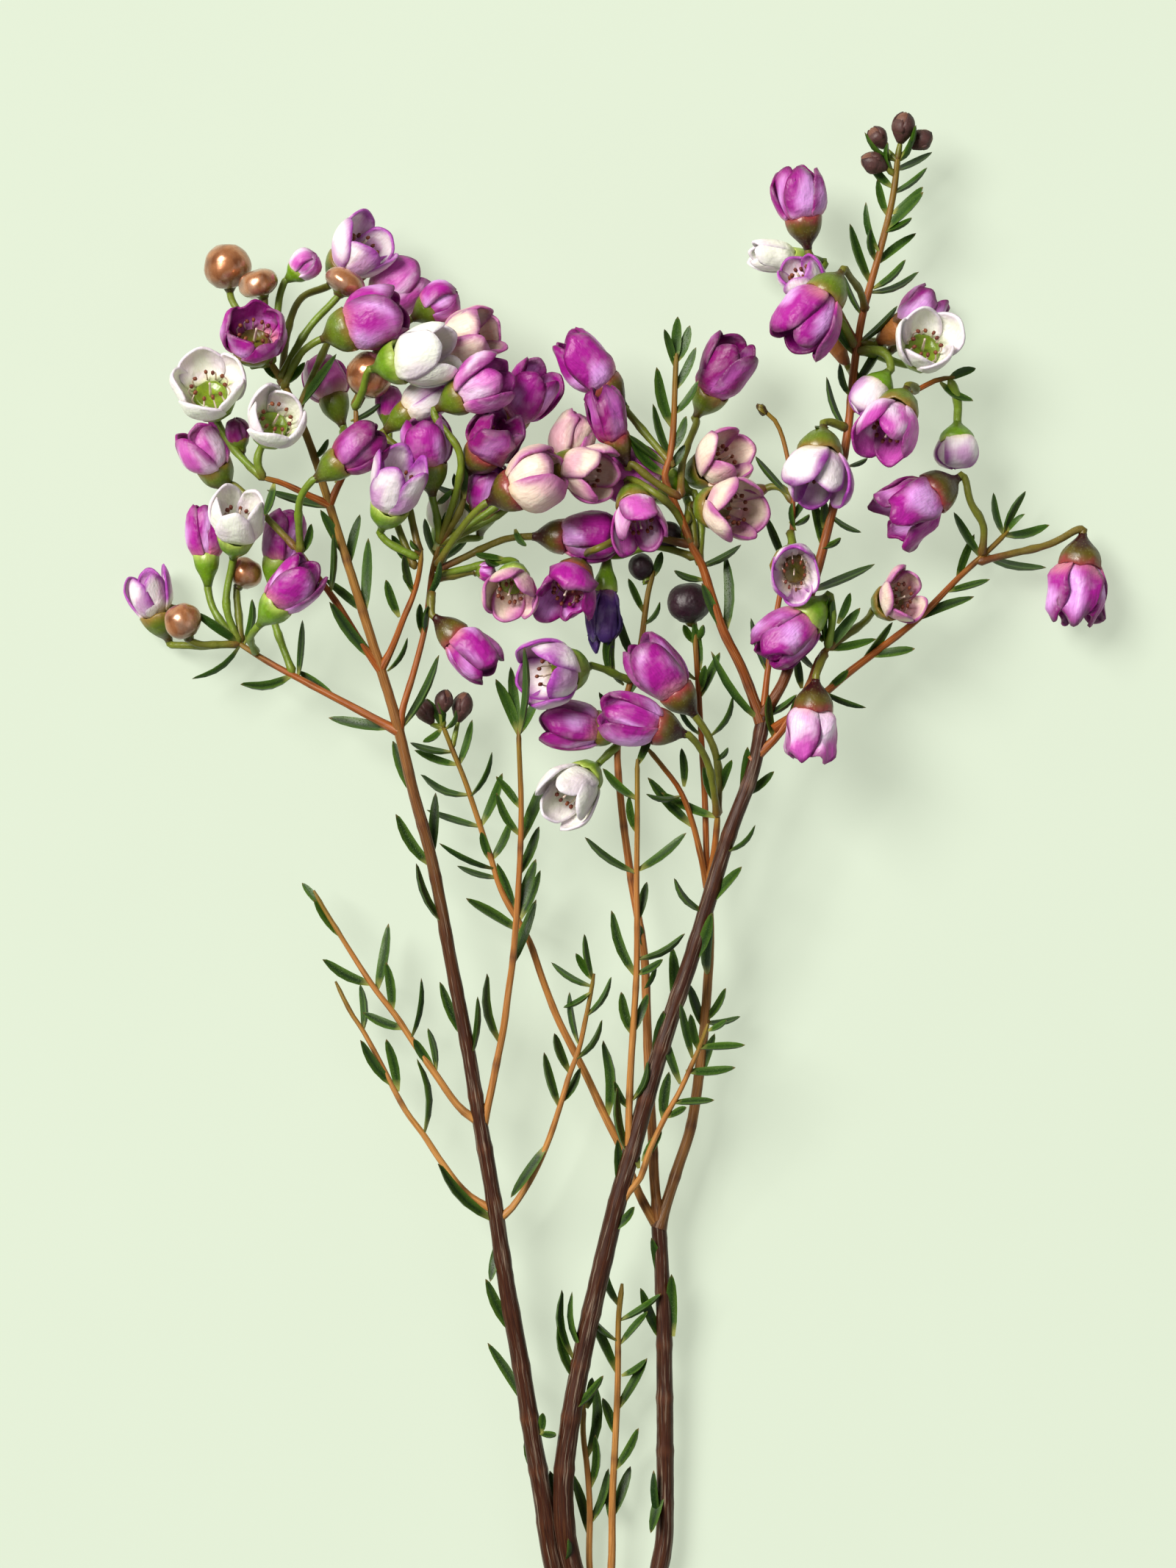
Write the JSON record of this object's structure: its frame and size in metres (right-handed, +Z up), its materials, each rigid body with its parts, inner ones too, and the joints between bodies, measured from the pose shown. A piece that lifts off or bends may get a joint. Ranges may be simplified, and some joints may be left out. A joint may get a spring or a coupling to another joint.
{
  "type": "waxflower stem",
  "caption": "Cut branching waxflower stem lying flat, with needle leaves and small five-petalled cup flowers, some in bud, for dressing a table, vase or bouquet.",
  "frame": {"origin": "middle of the lying spray's footprint, on the surface that it lies on", "axes": "+Y from the cut end towards the flowers along the stem, +Z straight up from the surface through the spray's thickness, +X across the spray"},
  "size_m": [0.1619, 0.2779, 0.0317],
  "materials": {
    "bark_and_leaf": "dark green keeled leaves, brown bark, green calyxes",
    "white_petal": "white petals with a lilac edge",
    "blush_petal": "pale pink petals",
    "magenta_petal": "magenta petals with paler edges",
    "violet_petal": "wilted violet petals"
  },
  "bodies": {
    "root": {"leafy_stem": "bark_and_leaf", "corolla_L01": "blush_petal", "corolla_L03": "magenta_petal", "corolla_L04": "magenta_petal", "corolla_L05": "magenta_petal", "corolla_L07": "white_petal", "corolla_L08": "white_petal", "corolla_L09": "blush_petal", "corolla_L11": "blush_petal", "corolla_L12": "white_petal", "corolla_L13": "blush_petal", "corolla_L14": "blush_petal", "corolla_L15": "magenta_petal", "corolla_L16": "magenta_petal", "corolla_L18": "magenta_petal", "corolla_L19": "magenta_petal", "corolla_L20": "violet_petal", "corolla_L21": "magenta_petal", "corolla_L22": "white_petal", "corolla_L23": "magenta_petal", "corolla_L24": "white_petal", "corolla_L25": "magenta_petal", "corolla_L26": "magenta_petal", "corolla_L27": "blush_petal", "corolla_L28": "magenta_petal", "corolla_M01": "magenta_petal", "corolla_M02": "violet_petal", "corolla_M03": "magenta_petal", "corolla_M04": "blush_petal", "corolla_M05": "blush_petal", "corolla_M06": "blush_petal", "corolla_M07": "blush_petal", "corolla_M08": "magenta_petal", "corolla_M09": "white_petal", "corolla_M10": "magenta_petal", "corolla_M11": "violet_petal", "corolla_M13": "white_petal", "corolla_M14": "magenta_petal", "corolla_M15": "white_petal", "corolla_M16": "magenta_petal", "corolla_M17": "magenta_petal", "corolla_M18": "blush_petal", "corolla_M19": "white_petal", "corolla_M20": "magenta_petal", "corolla_M21": "white_petal", "corolla_R01": "magenta_petal", "corolla_R02": "white_petal", "corolla_R03": "blush_petal", "corolla_R04": "magenta_petal", "corolla_R05": "magenta_petal", "corolla_R06": "white_petal", "corolla_R08": "magenta_petal", "corolla_R10": "magenta_petal", "corolla_R11": "white_petal", "corolla_R12": "white_petal", "corolla_R13": "magenta_petal", "corolla_R14": "magenta_petal", "corolla_R15": "blush_petal", "corolla_R16": "magenta_petal"}
  },
  "joints": []
}
